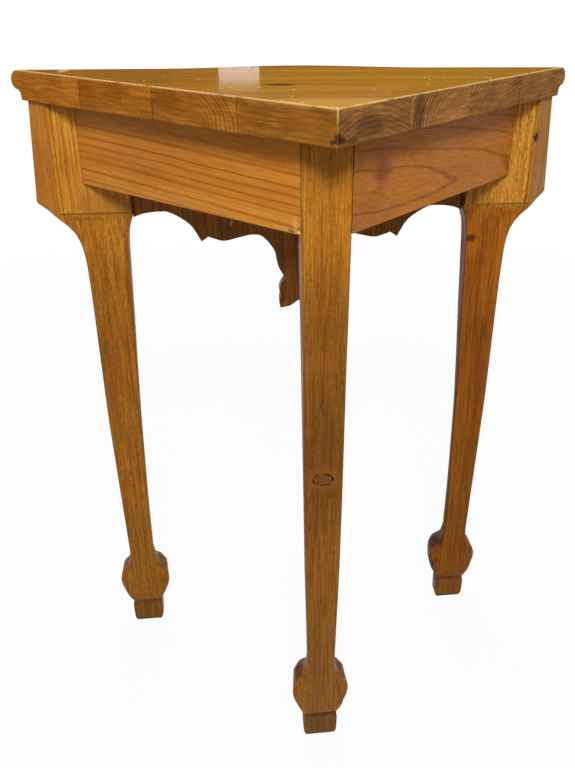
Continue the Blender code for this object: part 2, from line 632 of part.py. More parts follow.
def wall_block_ends():
    """Depths between which the glue blocks along the back aprons stand: the back one's, the front ones'."""
    back_start = BACK_LEG_DEPTH + BACK_LEG_THICKNESS + JOINT_GAP
    front_end = BLOCK_BACK - JOINT_GAP
    return (back_start, back_start + BACK_BLOCK_DEPTH), (front_end - CORNER_BLOCK_SIDE, front_end)


def corner_blocks(shop):
    """Glue blocks behind the back leg and where the back aprons meet the front legs."""
    inner = (BACK_APRON_INNER + JOINT_GAP) * ROOT_TWO
    (start, end), (reach, face) = wall_block_ends()
    corners = [(start - inner, start), (end - inner, end), (inner - end, end), (inner - start, start)]
    glue_block(shop, "back_corner_block", corners, BLOCK_DROP, BACK_BLOCK_HEIGHT)
    for side, label in SIDES:
        corners = [(face - inner, face), (reach - inner, face), (reach - inner, reach)]
        corners = [(side * x, d) for x, d in corners]
        glue_block(shop, label + "_corner_block", corners, BLOCK_DROP, CORNER_BLOCK_HEIGHT)


def top_cleat_ends():
    """Ends of a top cleat along the wall, between the back glue block and the front one."""
    inner = BACK_APRON_INNER + JOINT_GAP
    (_, back_end), (front_start, _) = wall_block_ends()
    return back_end * ROOT_TWO - inner + CLEAT_CLEARANCE, front_start * ROOT_TWO - inner - CLEAT_CLEARANCE


def front_cleat_box():
    """Ends of a front cleat from the middle of the table, and the depths of its back and front."""
    end = FRONT_LEG_INNER - FRONT_CLEAT_CLEARANCE
    front = front_depth(FRONT_LEG_INNER) - FRONT_OVERHANG - FRONT_APRON_THICKNESS - JOINT_GAP
    return (end - FRONT_CLEAT_LENGTH, end), (front - CLEAT_SECTION, front)


def screw_places():
    """Plan places of the screws, as a list for each cleat."""
    inset = BACK_APRON_INNER + JOINT_GAP + CLEAT_SECTION / 2
    start, end = top_cleat_ends()
    (x_start, x_end), (back, front) = front_cleat_box()
    places = {}
    for side, label in SIDES:
        along = [start + (end - start) * share for share in CLEAT_SCREW_SHARES]
        places[label + "_top_cleat"] = [wall_plan(side, a, inset) for a in along]
        places[label + "_front_cleat"] = [(side * (x_start + x_end) / 2, (back + front) / 2)]
    return places


def cleats(shop, holes):
    """Battens that carry the top: one along each back apron, a short one at each end of the front apron."""
    near = BACK_APRON_INNER + JOINT_GAP
    far = near + CLEAT_SECTION
    start, end = top_cleat_ends()
    (x_start, x_end), (back, front) = front_cleat_box()
    wall_corners = ((start, near), (end, near), (end, far), (start, far))
    front_corners = ((x_start, front), (x_end, front), (x_end, back), (x_start, back))
    for side, label in SIDES:
        corners = [wall_plan(side, along, inset) for along, inset in wall_corners]
        batten = glue_block(shop, label + "_top_cleat", corners, JOINT_GAP, CLEAT_SECTION)
        boolean(batten, holes, "DIFFERENCE")
        corners = [(side * x, d) for x, d in front_corners]
        block = glue_block(shop, label + "_front_cleat", corners, JOINT_GAP, CLEAT_SECTION)
        boolean(block, holes, "DIFFERENCE")


def turned(name, profile, sides):
    """Closed turned body from an outline that runs down the outer side from the axis to the axis."""
    mesh = bpy.data.meshes.new(name)
    count = len(profile)
    mesh.from_pydata([(r, 0, z) for r, z in profile], [(k, k + 1) for k in range(count - 1)], [])
    lathe = bpy.data.objects.new(name, mesh)
    bpy.context.scene.collection.objects.link(lathe)
    step = lathe.modifiers.new("turning", "SCREW")
    step.axis = "Z"
    step.steps = sides
    step.render_steps = sides
    step.use_merge_vertices = True
    step.merge_threshold = MERGE_DISTANCE
    made = evaluated_mesh(lathe, name)
    bpy.data.meshes.remove(mesh)
    shape = bmesh.new()
    shape.from_mesh(made)
    bpy.data.meshes.remove(made)
    return shape


def screw_shape(name, room):
    """Countersunk screw pointing up, or the hole that takes it when room is left around it."""
    head = SCREW_HEAD_RADIUS + room
    shank = SCREW_RADIUS + room
    tip = SCREW_LENGTH + room
    neck = SCREW_LENGTH - SCREW_POINT_LENGTH
    profile = [(0, tip), (shank, neck), (shank, SCREW_HEAD_HEIGHT), (head, 0)]
    if room:
        profile.append((head, -CUT_OVERRUN))
        profile.append((0, -CUT_OVERRUN))
    else:
        profile.append((0, 0))
    return turned(name, profile, SCREW_SIDES)


def screws(shop):
    """The screws that hold the top, and the holes that take them."""
    base = UNDERSIDE - JOINT_GAP - CLEAT_SECTION
    screw = mesh_from_bmesh("screw", screw_shape("screw", 0))
    shade_round(screw)
    bore = mesh_from_bmesh("screw_hole", screw_shape("screw_hole", JOINT_GAP))
    holes = shop.cutter_group("screw_holes")
    for name, spots in screw_places().items():
        for number, (x, d) in enumerate(spots):
            place = Matrix.Translation((*plan(x, d), base))
            shop.piece("%s_screw_%d" % (name, number + 1), screw, BRASSED_STEEL, place)
            shop.cutter("%s_screw_%d_hole" % (name, number + 1), bore, holes).matrix_world = place
    return holes


def build():
    shop = Workshop()
    dowel_holes = dowels(shop)
    screw_holes = screws(shop)
    moulding = shop.cutter("moulding_cutter", moulding_cutter())
    top_boards(shop, moulding, screw_holes)
    back_leg(shop, dowel_holes)
    for side, label in SIDES:
        front_leg(shop, side, label, dowel_holes)
        back_apron(shop, side, label, dowel_holes)
    front_apron(shop, dowel_holes)
    corner_blocks(shop)
    cleats(shop, screw_holes)


build()
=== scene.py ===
import math
from collections import namedtuple

import bpy
from mathutils import Matrix, Vector


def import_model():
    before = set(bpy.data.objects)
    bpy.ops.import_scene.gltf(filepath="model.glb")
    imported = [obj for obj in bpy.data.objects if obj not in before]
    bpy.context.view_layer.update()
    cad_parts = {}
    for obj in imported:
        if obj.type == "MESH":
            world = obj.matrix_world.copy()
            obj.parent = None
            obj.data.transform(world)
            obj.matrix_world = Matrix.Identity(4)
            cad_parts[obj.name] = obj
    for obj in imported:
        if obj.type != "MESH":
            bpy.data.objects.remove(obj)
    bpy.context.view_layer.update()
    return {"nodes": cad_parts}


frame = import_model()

NODES = frame["nodes"]

# Camera at the photo's place, turned and tilted as it was. The shift stands for the photo's crop.
CAMERA_PLACE = (0.0902, 0.7876, 0.8373)
CAMERA_HEADING = math.radians(172.9998)
CAMERA_PITCH = math.radians(27.0315)
CAMERA_ROLL = math.radians(0.4312)
CAMERA_LENS = 37.378
CAMERA_SENSOR = 36
CAMERA_SHIFT = -0.0387
CAMERA_NEAR, CAMERA_FAR = 0.02, 100

# Lamps: name, place, what it looks at, width, height, power
LAMPS = (
    ("key", (0.11, 1.45, 1.76), (0, 0.05, 0.55), 0.45, 0.45, 31),
    ("top", (0, -0.5, 2.4), (0, 0, 0.4), 1.6, 1.6, 20),
    ("room", (0, -2.2, 1.6), (0, 0, 0.4), 1.2, 1.2, 14),
    ("window", (-0.015, -3.0, 1.008), (0.065, -0.06, 0.75), 0.18, 0.155, 2.4),
)
WORLD_LIGHT = 0.28
FLOOR_SIZE = 60
FLOOR_DROP = 0.0005          # how far the floor lies under the feet
FLOOR_TONES = ((0.54, 0.54, 0.54), (0.56, 0.56, 0.56))
FLOOR_GRAIN = (30, 30, 30)
FLOOR_GLOW = 0.94            # share of plain white near the table; the rest shows the shadow
FLOOR_FADE = (0.8, 2.6)      # distances between which that share grows to 1

# Places of the table that its looks depend on
CORNER_Y = 0.1687            # back corner of the top
TOP_Z = 0.750
BOARD_WIDTH = 0.0742
BLOCK_FOOT = (0.590, 0.612)  # heights between which the legs pass into their blocks

# Directions, some of them slanted as the grain in the photo
ROOT_HALF = math.sqrt(0.5)
ALONG_X = (1, 0, 0)
ALONG_Y = (0, 1, 0)
UPRIGHT = (0, 0, 1)
RIGHT_WALL = (ROOT_HALF, -ROOT_HALF, 0)
RIGHT_SLANT = (ROOT_HALF, -ROOT_HALF, 0.03)
LEFT_WALL = (-ROOT_HALF, -ROOT_HALF, 0)
LEFT_SLANT = (-0.618, -0.796, -0.083)

# Woods: early and late growth, as light as they look in the photo
HONEY = ((0.56, 0.220, 0.0180), (0.28, 0.090, 0.0060))
AMBER = ((0.44, 0.142, 0.0090), (0.22, 0.060, 0.0035))
ORANGE = ((0.64, 0.232, 0.0250), (0.36, 0.108, 0.0100))
ROSE = ((0.485, 0.165, 0.0175), (0.25, 0.070, 0.0080))
OLIVE = ((0.355, 0.165, 0.0085), (0.235, 0.095, 0.0055))
BROWN = ((0.340, 0.128, 0.0160), (0.17, 0.056, 0.007))
RAW = ((0.55, 0.36, 0.17), (0.38, 0.20, 0.08))
END_GOLD = ((0.42, 0.168, 0.0230), (0.15, 0.054, 0.0070))
END_GREY = ((0.35, 0.157, 0.0450), (0.050, 0.026, 0.0120))
WORN_EDGE = (0.72, 0.48, 0.20)
LEG_RIM = (0.13, 0.050, 0.009)
KNOT_HEART = (0.20, 0.070, 0.014)
DARK = (0.030, 0.011, 0.003)
DUST_TONE = (0.86, 0.66, 0.28)
BRASS = (0.62, 0.50, 0.28)

# Patterns in the wood. Tones below 1 darken it and tones above 1 lighten it.
Pattern = namedtuple("Pattern", "stretch detail roughness span tone shift", defaults=(None, None))
STREAKS = Pattern((420, 420, 12), 3, 0.65, (0.42, 0.66), (0.58, 0.50, 0.44))
FIBRES = Pattern((1100, 1100, 26), 2, 0.60, (0.42, 0.70), (0.52, 0.44, 0.38))
GLEAMS = Pattern((620, 620, 20), 3, 0.65, (0.50, 0.68), (1.30, 1.36, 1.50))
PORES = Pattern((520, 520, 170), 3, 0.70, (0.50, 0.62), (0.52, 0.44, 0.36))
FLECKS = Pattern((520, 520, 170), 3, 0.70, (0.54, 0.64), (1.40, 1.50, 1.80), (7, 3, 5))
SAW_DARK = Pattern((30, 30, 680), 3, 0.60, (0.40, 0.64), (0.62, 0.54, 0.50))
SAW_PALE = Pattern((34, 34, 260), 2, 0.60, (0.50, 0.68), (1.45, 1.50, 1.60))
BANDS = Pattern((46, 46, 1.4), 2, 0.55, (0.36, 0.66), (0.60, 0.52, 0.46))
DARK_PATCHES = Pattern((15, 15, 6), 3, 0.55, (0.42, 0.68), (0.66, 0.58, 0.52))
PALE_PATCHES = Pattern((26, 26, 4), 2, 0.50, (0.50, 0.70), (1.28, 1.34, 1.50))
RUBBING = Pattern((55, 55, 55), 3, 0.60, (0.26, 0.48))
FIBRE_SHARE = 0.8            # strength of the fibres beside the streaks
SAW_AMOUNT = 0.7
END_SHARE = 0.25             # how much of streaks and gleams is left on end grain

# Grains strewn over some fields: stretch and size of the grains, stretch and span of the fields
Strewn = namedtuple("Strewn", "stretch size field span")
SPECKS = Strewn((210, 210, 80), (0.05, 0.15), (34, 34, 14), (0.54, 0.64))
DUST = Strewn((110, 110, 62), (0.06, 0.125), (16, 16, 12), (0.45, 0.54))
SPECK_AMOUNT = 0.7
DUST_FACING = (0.8, 0.9)     # how far up a face must look to carry dust

# Growth rings
SWAY_STRETCH = (9, 9, 2.2)
RIPPLE_STRETCH = (60, 60, 7)
RIPPLE_SHARE = 0.25          # of the ring spacing
DRIFT_STRETCH = (40, 40, 1.5)
LATE_FULL, LATE_FADE = 0.90, 0.92    # between these places in a ring the late growth is darkest
FAINTEST_RING = 0.35
CALM_EDGE = 0.012            # width over which the rings come in at the calm radius
CALM_SHARE = 0.12            # strength of the rings inside it
END_FACING = (0.40, 0.70)    # how far a face must look along the grain to be end grain
SIDE_SPAN = (-0.002, 0.002)  # x between which the left end's look changes to the right end's
PLAIN_END = (0.55, (0.45, 0.40, 0.38))    # amount and tone on end grain that has no look of its own

# Knots. The spans are counted in knot sizes from the middle.
Knot = namedtuple("Knot", "centre axis size flow lift ragged")
RAGGED_STRETCH = (330, 330, 330)
KNOT_RINGS = 2.4
KNOT_RING_SPAN = (0.2, 0.9)
KNOT_RING_TONE = 0.6
HALO_SPAN, HALO_AMOUNT = (1.2, 2.8), 0.5
HEART_EDGE = (0.86, 1.04)
OUTLINE_IN, OUTLINE_OUT = (0.78, 0.98), (1.02, 1.20)
OUTLINE_STRETCH, OUTLINE_BREAKS = (160, 160, 160), (0.36, 0.52)

# Marks
MARK_STRETCH = (230, 230, 230)
MARK_SHAKE = 0.0022
MARK_EDGE = (0.55, 1.10)

# Painted shade in inner corners and gaps, darkened by ambient occlusion
CORNER_SHADE_REACH = 0.012
CORNER_SHADE_SPAN = (0.35, 0.90)
CORNER_SHADE_TONE = (0.36, 0.28, 0.22)

# Wear. Widths at the joints of the top are counted in board widths.
ARRIS_RADIUS = 0.0012
ARRIS_SPAN = (0.80, 0.985)
RIM_WIDTH = (0.0004, 0.0017)
CORNER_WIDTH = (0.0002, 0.0010)
CORNER_REACH = (0.160, 0.164)
CORNER_HEIGHTS, CORNER_AMOUNTS = (0.736, 0.748), (0.08, 0.9)
JOINT_CLEAR = (0.025, 0.045)
SEAM_WIDTH = (0.010, 0.045)
SEAM_AMOUNT, SEAM_TONE = 0.14, (0.50, 0.42, 0.36)
FIRST_JOINT = (0.3, 0.4)     # joints and soft wear begin here, counted from the back corner

# Finish
SHEEN_STRETCH, SHEEN_SPAN = (90, 90, 14), (0.3, 0.7)
ROUGH_LESS, ROUGH_MORE = 0.06, 0.10
COAT_ROUGHNESS = 0.07
RELIEF_SHARE = 0.5
BUMP_STRENGTH = 0.35
BUMP_DEPTH = 0.00025

# Plated metal
TARNISH_STRETCH, TARNISH_SPAN = (400, 400, 400), (0.4, 0.7)
TARNISH_TONE = 0.5
METAL_SPAN, METAL_ROUGHNESS = (0.3, 0.7), (0.3, 0.55)


class Graph:
    """A node material with short calls for the nodes that it is made of."""

    def __init__(self, name):
        self.material = bpy.data.materials.new(name)
        self.material.use_nodes = True
        self.tree = self.material.node_tree
        self.tree.nodes.clear()
        self.output = self.add("ShaderNodeOutputMaterial")
        self.place = self.add("ShaderNodeTexCoord").outputs["Object"]

    def add(self, kind, **settings):
        node = self.tree.nodes.new(kind)
        for key, value in settings.items():
            setattr(node, key, value)
        return node

    def put(self, value, socket):
        if isinstance(value, bpy.types.NodeSocket):
            self.tree.links.new(value, socket)
        else:
            socket.default_value = value

    def math(self, operation, a, b=0.0, clamp=False):
        node = self.add("ShaderNodeMath", operation=operation, use_clamp=clamp)
        self.put(a, node.inputs[0])
        self.put(b, node.inputs[1])
        return node.outputs[0]

    def times(self, a, b):
        return self.math("MULTIPLY", a, b)

    def vector(self, operation, a, b=(0, 0, 0), scale=1.0):
        node = self.add("ShaderNodeVectorMath", operation=operation)
        self.put(a, node.inputs[0])
        if operation == "SCALE":
            self.put(scale, node.inputs["Scale"])
        else:
            self.put(b, node.inputs[1])
        return node.outputs["Value" if operation in ("LENGTH", "DOT_PRODUCT") else "Vector"]

    def along(self, direction, at=None):
        """How far a place, or a vector given for it, goes along a direction."""
        return self.vector("DOT_PRODUCT", self.place if at is None else at, direction)

    def stretched(self, at, scale):
        return self.vector("MULTIPLY", at, scale)

    def turned(self, at, origin, turn):
        """Coordinates measured from an origin along turned axes."""
        node = self.add("ShaderNodeMapping", vector_type="TEXTURE")
        self.put(at, node.inputs["Vector"])
        node.inputs["Location"].default_value = origin
        node.inputs["Rotation"].default_value = turn
        return node.outputs["Vector"]

    def noise(self, at, detail=2.0, roughness=0.5, colour=False):
        node = self.add("ShaderNodeTexNoise")
        self.put(at, node.inputs["Vector"])
        node.inputs["Scale"].default_value = 1
        node.inputs["Detail"].default_value = detail
        node.inputs["Roughness"].default_value = roughness
        return node.outputs["Color" if colour else "Fac"]

    def shaken(self, place, at, amount, detail=2.0):
        """The place moved by a small irregular offset, up to about the amount each way."""
        offset = self.vector("SUBTRACT", self.noise(at, detail, 0.5, True), (0.5, 0.5, 0.5))
        return self.vector("ADD", place, self.vector("SCALE", offset, scale=amount * 2))

    def cells(self, at):
        node = self.add("ShaderNodeTexVoronoi")
        self.put(at, node.inputs["Vector"])
        node.inputs["Scale"].default_value = 1
        return node.outputs["Distance"]

    def span(self, value, low, high, to_low=0.0, to_high=1.0, smooth=True):
        node = self.add("ShaderNodeMapRange", interpolation_type="SMOOTHSTEP" if smooth else "LINEAR")
        self.put(value, node.inputs["Value"])
        node.inputs["From Min"].default_value = low
        node.inputs["From Max"].default_value = high
        node.inputs["To Min"].default_value = to_low
        node.inputs["To Max"].default_value = to_high
        return node.outputs["Result"]

    def blend(self, factor, a, b, mode="MIX"):
        node = self.add("ShaderNodeMix", data_type="RGBA", blend_type=mode)
        self.put(factor, node.inputs["Factor"])
        for value, key in ((a, 6), (b, 7)):
            if not isinstance(value, bpy.types.NodeSocket):
                value = (*value[:3], 1)
            self.put(value, node.inputs[key])
        return node.outputs[2]

    def stain(self, colour, factor, amount, tone):
        """The colour multiplied by a tone where the factor is high."""
        return self.blend(self.times(factor, amount), colour, tone, "MULTIPLY")

    def shown(self, pattern, at):
        """Where a pattern shows."""
        at = self.stretched(at, pattern.stretch)
        if pattern.shift:
            at = self.vector("ADD", at, pattern.shift)
        return self.span(self.noise(at, pattern.detail, pattern.roughness), *pattern.span)

    def laid(self, colour, pattern, at, amount, within=None):
        """The colour with a pattern laid over it, within a mask."""
        shows = self.shown(pattern, at)
        if within is not None:
            shows = self.times(shows, within)
        return self.stain(colour, shows, amount, pattern.tone)

    def strewn(self, kind, at):
        """Grains strewn over some fields."""
        grains = self.cells(self.stretched(at, kind.stretch))
        fields = self.noise(self.stretched(at, kind.field), 1)
        return self.times(self.span(grains, *kind.size, 1.0, 0.0), self.span(fields, *kind.span))


def ring_pattern(g, local, radius, spacing, start, calm, sway, phase):
    """How dark the late growth is at a place, faint within a calm radius, and the drift that bends it."""
    drift = g.noise(g.stretched(local, DRIFT_STRETCH), 1)
    rings = g.math("ADD", g.math("DIVIDE", radius, spacing), g.times(drift, sway))
    rings = g.math("ADD", rings, phase)
    growth = g.math("FRACT", rings)
    late = g.times(g.span(growth, start, LATE_FULL), g.span(growth, LATE_FADE, 1.0, 1.0, 0.0))
    strength = g.add("ShaderNodeTexWhiteNoise", noise_dimensions="1D")
    g.put(g.math("FLOOR", rings), strength.inputs["W"])
    late = g.times(late, g.span(strength.outputs["Value"], 0, 1, FAINTEST_RING, 1.0, False))
    return g.times(late, g.span(radius, calm - CALM_EDGE, calm, CALM_SHARE, 1.0)), drift


def knot_field(g, turn, radius, knots):
    """Ring radius bent round the knots, and the distance from the nearest knot in knot sizes."""
    core = None
    for knot in knots:
        offset = g.vector("SUBTRACT", g.place, knot.centre)
        axis = tuple(Vector(knot.axis).normalized())
        depth = g.along(axis, offset)
        flat = g.vector("SUBTRACT", offset, g.vector("SCALE", axis, scale=depth))
        flat = g.turned(flat, (0, 0, 0), turn)
        across, along = knot.size
        ragged = g.shaken(flat, g.stretched(g.place, RAGGED_STRETCH), knot.ragged, 3)
        inner = g.vector("LENGTH", g.stretched(ragged, (1 / across, 1 / across, 1 / along)))
        wide, long = knot.flow
        swirl = g.vector("LENGTH", g.stretched(flat, (1 / wide, 1 / wide, 1 / long)))
        fall = g.math("EXPONENT", g.times(g.math("POWER", swirl, 2.0), -1.0))
        radius = g.math("ADD", radius, g.times(fall, knot.lift))
        core = inner if core is None else g.math("MINIMUM", core, inner)
    return radius, core


def knot_colour(g, colour, core, drift, wood, heart, outline):
    """Halo, ringed heart and broken dark outline of the knots."""
    rings = g.math("FRACT", g.math("ADD", g.times(core, KNOT_RINGS), drift))
    inside = g.blend(g.span(rings, *KNOT_RING_SPAN), heart, [c * KNOT_RING_TONE for c in heart])
    colour = g.blend(g.span(core, *HALO_SPAN, HALO_AMOUNT, 0.0), colour, wood[1])
    colour = g.blend(g.span(core, *HEART_EDGE, 1.0, 0.0), colour, inside)
    broken = g.span(g.noise(g.stretched(g.place, OUTLINE_STRETCH), 1), *OUTLINE_BREAKS, 0.0, outline)
    rim = g.times(g.span(core, *OUTLINE_IN), g.span(core, *OUTLINE_OUT, 1.0, 0.0))
    return g.blend(g.times(rim, broken), colour, DARK)


def grown(g, wood, ends, end, late, lines):
    """Colour of the rings, in the tones of both ends where the piece has its own."""
    early_tone, late_tone = wood
    if not ends:
        colour = g.blend(g.math("MULTIPLY", late, lines, True), early_tone, late_tone)
        return g.stain(colour, end, *PLAIN_END)
    left, right = ends
    side = g.span(g.along(ALONG_X), *SIDE_SPAN)
    early_tone = g.blend(end, early_tone, g.blend(side, left.early, right.early))
    late_tone = g.blend(end, late_tone, g.blend(side, left.late, right.late))
    sided = g.times(end, g.span(side, 0, 1, left.lines, right.lines))
    lines = g.math("ADD", sided, g.span(end, 0, 1, lines, 0.0, False))
    return g.blend(g.math("MULTIPLY", late, lines, True), early_tone, late_tone)


def marked(g, colour, marks):
    """Patches with ragged edges: (centre, radii, colour, amount)."""
    ragged = g.shaken(g.place, g.stretched(g.place, MARK_STRETCH), MARK_SHAKE, 3)
    for centre, radii, tone, amount in marks:
        offset = g.stretched(g.vector("SUBTRACT", ragged, centre), [1 / r for r in radii])
        inside = g.span(g.vector("LENGTH", offset), *MARK_EDGE, amount, 0.0)
        colour = g.blend(inside, colour, tone)
    return colour


def worn_top_edges(g):
    """Pale worn arrises of the top along the walls, and its back corner."""
    x, y, z = (g.along(axis) for axis in (ALONG_X, ALONG_Y, UPRIGHT))
    aside = g.math("ABSOLUTE", x)
    inside = g.times(g.math("SUBTRACT", g.math("SUBTRACT", CORNER_Y, y), aside), ROOT_HALF)
    upper = g.span(g.math("ADD", inside, g.math("SUBTRACT", TOP_Z, z)), *RIM_WIDTH, 1.0, 0.0)
    corner = g.times(g.span(aside, *CORNER_WIDTH, 1.0, 0.0), g.span(y, *CORNER_REACH))
    corner = g.times(corner, g.span(z, *CORNER_HEIGHTS, *CORNER_AMOUNTS))
    return g.math("MAXIMUM", upper, corner)


def worn(g, colour, soft_normal, normal, top, end, wear, rim):
    """Worn arrises, and on the top its worn sides and the faint joints between its boards."""
    edge = g.span(g.along(normal, soft_normal), *ARRIS_SPAN, 1.0, 0.0)
    rubbed = g.shown(RUBBING, g.place)
    edge = g.times(edge, rubbed)
    if top:
        board = g.math("DIVIDE", g.math("SUBTRACT", CORNER_Y, g.along(ALONG_Y)), BOARD_WIDTH)
        joint = g.math("ABSOLUTE", g.math("SUBTRACT", board, g.math("ROUND", board)))
        jointed = g.span(board, *FIRST_JOINT)
        edge = g.times(edge, g.times(g.span(joint, *JOINT_CLEAR), jointed))
        seam = g.times(g.span(joint, *SEAM_WIDTH, 1.0, 0.0), jointed)
        seam = g.times(seam, g.span(end, 0.0, 1.0, 1.0, 0.0))
        colour = g.stain(colour, seam, SEAM_AMOUNT, SEAM_TONE)
        edge = g.math("MAXIMUM", edge, g.times(worn_top_edges(g), rubbed))
    return g.blend(g.times(edge, wear), colour, rim)


def lacquered(g, colour, relief, soft_normal, local, rough, coat, specular):
    """Shader of the finished wood."""
    shader = g.add("ShaderNodeBsdfPrincipled")
    g.put(colour, shader.inputs["Base Color"])
    sheen = g.noise(g.stretched(local, SHEEN_STRETCH), 2)
    g.put(g.span(sheen, *SHEEN_SPAN, rough - ROUGH_LESS, rough + ROUGH_MORE), shader.inputs["Roughness"])
    shader.inputs["Specular IOR Level"].default_value = specular
    shader.inputs["Coat Weight"].default_value = coat
    shader.inputs["Coat Roughness"].default_value = COAT_ROUGHNESS
    bump = g.add("ShaderNodeBump")
    bump.inputs["Strength"].default_value = BUMP_STRENGTH
    bump.inputs["Distance"].default_value = BUMP_DEPTH
    g.put(relief, bump.inputs["Height"])
    g.put(soft_normal, bump.inputs["Normal"])
    g.put(bump.outputs["Normal"], shader.inputs["Normal"])
    g.put(shader.outputs["BSDF"], g.output.inputs["Surface"])


def pine(name, wood, grain, pith, spacing, knots=(), marks=(), tints=(), shaded=(), ends=None,
         wave=0.006, lines=0.8, start=0.35, calm=0.014, sway=1.6, phase=0.0,
         fibre=0.5, blotch=0.4, band=0.3, grit=0.15, low_grit=0.15, dust=0.0,
         heart=KNOT_HEART, outline=1.0, corner_shade=0.85, wear=0.35, rim=WORN_EDGE,
         rough=0.40, coat=0.0, specular=0.10):
    """Pine with growth rings about a pith axis, so that flat grain and end grain come out of one body.

    Rings: wave bends them, lines is their strength, start is where in a ring the late growth begins,
    calm is the radius inside which they are faint, sway makes them uneven and phase moves them.
    Surface: strength of the fibres, blotches, bands, pores (grit above the foot of the leg blocks,
    low_grit under it), dust, knot outlines, painted shade in inner corners (grime) and wear, whose colour is
    rim.
    """
    g = Graph(name)
    turn = Vector(grain).to_track_quat("Z", "Y").to_euler()
    local = g.turned(g.place, pith, turn)
    bent = g.shaken(local, g.stretched(local, SWAY_STRETCH), wave)
    bent = g.shaken(bent, g.stretched(local, RIPPLE_STRETCH), spacing * RIPPLE_SHARE)
    radius, core = knot_field(g, turn, g.vector("LENGTH", g.stretched(bent, (1, 1, 0))), knots)
    late, drift = ring_pattern(g, bent, radius, spacing, start, calm, sway, phase)

    normal = g.add("ShaderNodeNewGeometry").outputs["True Normal"]
    facing = g.along(tuple(Vector(grain).normalized()), normal)
    end = g.span(g.math("ABSOLUTE", facing), *END_FACING)
    colour = grown(g, wood, ends, end, late, lines)

    long_way = g.span(end, 0.0, 1.0, 1.0, END_SHARE)
    colour = g.laid(colour, STREAKS, local, fibre, long_way)
    fibres = g.shown(FIBRES, local)
    colour = g.stain(colour, fibres, fibre * FIBRE_SHARE, FIBRES.tone)
    colour = g.laid(colour, GLEAMS, local, fibre, long_way)
    gritty = g.span(g.along(UPRIGHT), *BLOCK_FOOT, low_grit, grit)
    for pattern in (PORES, FLECKS):
        colour = g.laid(colour, pattern, local, 1.0, gritty)
    if ends:
        for pattern in (SAW_DARK, SAW_PALE):
            colour = g.laid(colour, pattern, g.place, SAW_AMOUNT, end)
    for pattern, amount in ((BANDS, band), (DARK_PATCHES, blotch), (PALE_PATCHES, blotch)):
        colour = g.laid(colour, pattern, local, amount)
    specks = g.strewn(SPECKS, local)
    colour = g.blend(g.times(specks, SPECK_AMOUNT), colour, DARK)

    for origin, direction, width, tone, amount in tints:
        direction = Vector(direction).normalized()
        begin = direction.dot(Vector(origin))
        colour = g.stain(colour, g.span(g.along(tuple(direction)), begin, begin + width), amount, tone)
    for direction, low, high, tone in shaded:
        colour = g.stain(colour, g.span(g.along(direction, normal), low, high), 1.0, tone)
    if core is not None:
        colour = knot_colour(g, colour, core, drift, wood, heart, outline)
    if marks:
        colour = marked(g, colour, marks)
    if dust:
        grains = g.times(g.strewn(DUST, local), g.span(g.along(UPRIGHT, normal), *DUST_FACING))
        colour = g.blend(g.times(grains, dust), colour, DUST_TONE)

    # Painted shade: the colour is darkened where ambient occlusion finds inner corners and narrow gaps
    closed = g.add("ShaderNodeAmbientOcclusion", samples=6)
    closed.inputs["Distance"].default_value = CORNER_SHADE_REACH
    colour = g.stain(colour, g.span(closed.outputs["AO"], *CORNER_SHADE_SPAN, 1.0, 0.0), corner_shade, CORNER_SHADE_TONE)

    rounded = g.add("ShaderNodeBevel", samples=4)
    rounded.inputs["Radius"].default_value = ARRIS_RADIUS
    soft_normal = rounded.outputs["Normal"]
    colour = worn(g, colour, soft_normal, normal, bool(ends), end, wear, rim)
    relief = g.math("ADD", g.times(late, RELIEF_SHARE), g.times(fibres, RELIEF_SHARE))
    relief = g.math("SUBTRACT", relief, specks)
    lacquered(g, colour, relief, soft_normal, local, rough, coat, specular)
    return g.material


def metal(name, colour):
    """Plated metal, tarnished in places."""
    g = Graph(name)
    shader = g.add("ShaderNodeBsdfPrincipled")
    tarnish = g.noise(g.stretched(g.place, TARNISH_STRETCH), 3, 0.6)
    dull = [c * TARNISH_TONE for c in colour]
    g.put(g.blend(g.span(tarnish, *TARNISH_SPAN), colour, dull), shader.inputs["Base Color"])
    g.put(g.span(tarnish, *METAL_SPAN, *METAL_ROUGHNESS), shader.inputs["Roughness"])
    shader.inputs["Metallic"].default_value = 1.0
    g.put(shader.outputs["BSDF"], g.output.inputs["Surface"])
    return g.material


def finish(node, material):
    """Gives a CAD node its finish."""
    piece = NODES[node]
    if not piece.data.materials:
        piece.data.materials.append(None)
    for slot in piece.material_slots:
        slot.material = material


def below(z, depth, tone):
    """A tint that comes in over a depth below a height."""
    return (0, 0, z), (0, 0, -1), depth, tone, 1.0


def above(z, rise, tone):
    """A tint that comes in over a rise above a height."""
    return (0, 0, z), (0, 0, 1), rise, tone, 1.0


def overall(tone):
    """A tint of everything but the lowest centimetre."""
    return above(0, 0.01, tone)


End = namedtuple("End", "early late lines")


def end_grain(tones, light, lines):
    """Early and late tone of sawn end grain, and how strongly its rings show."""
    return End(*(tuple(c * light for c in tone) for tone in tones), lines)


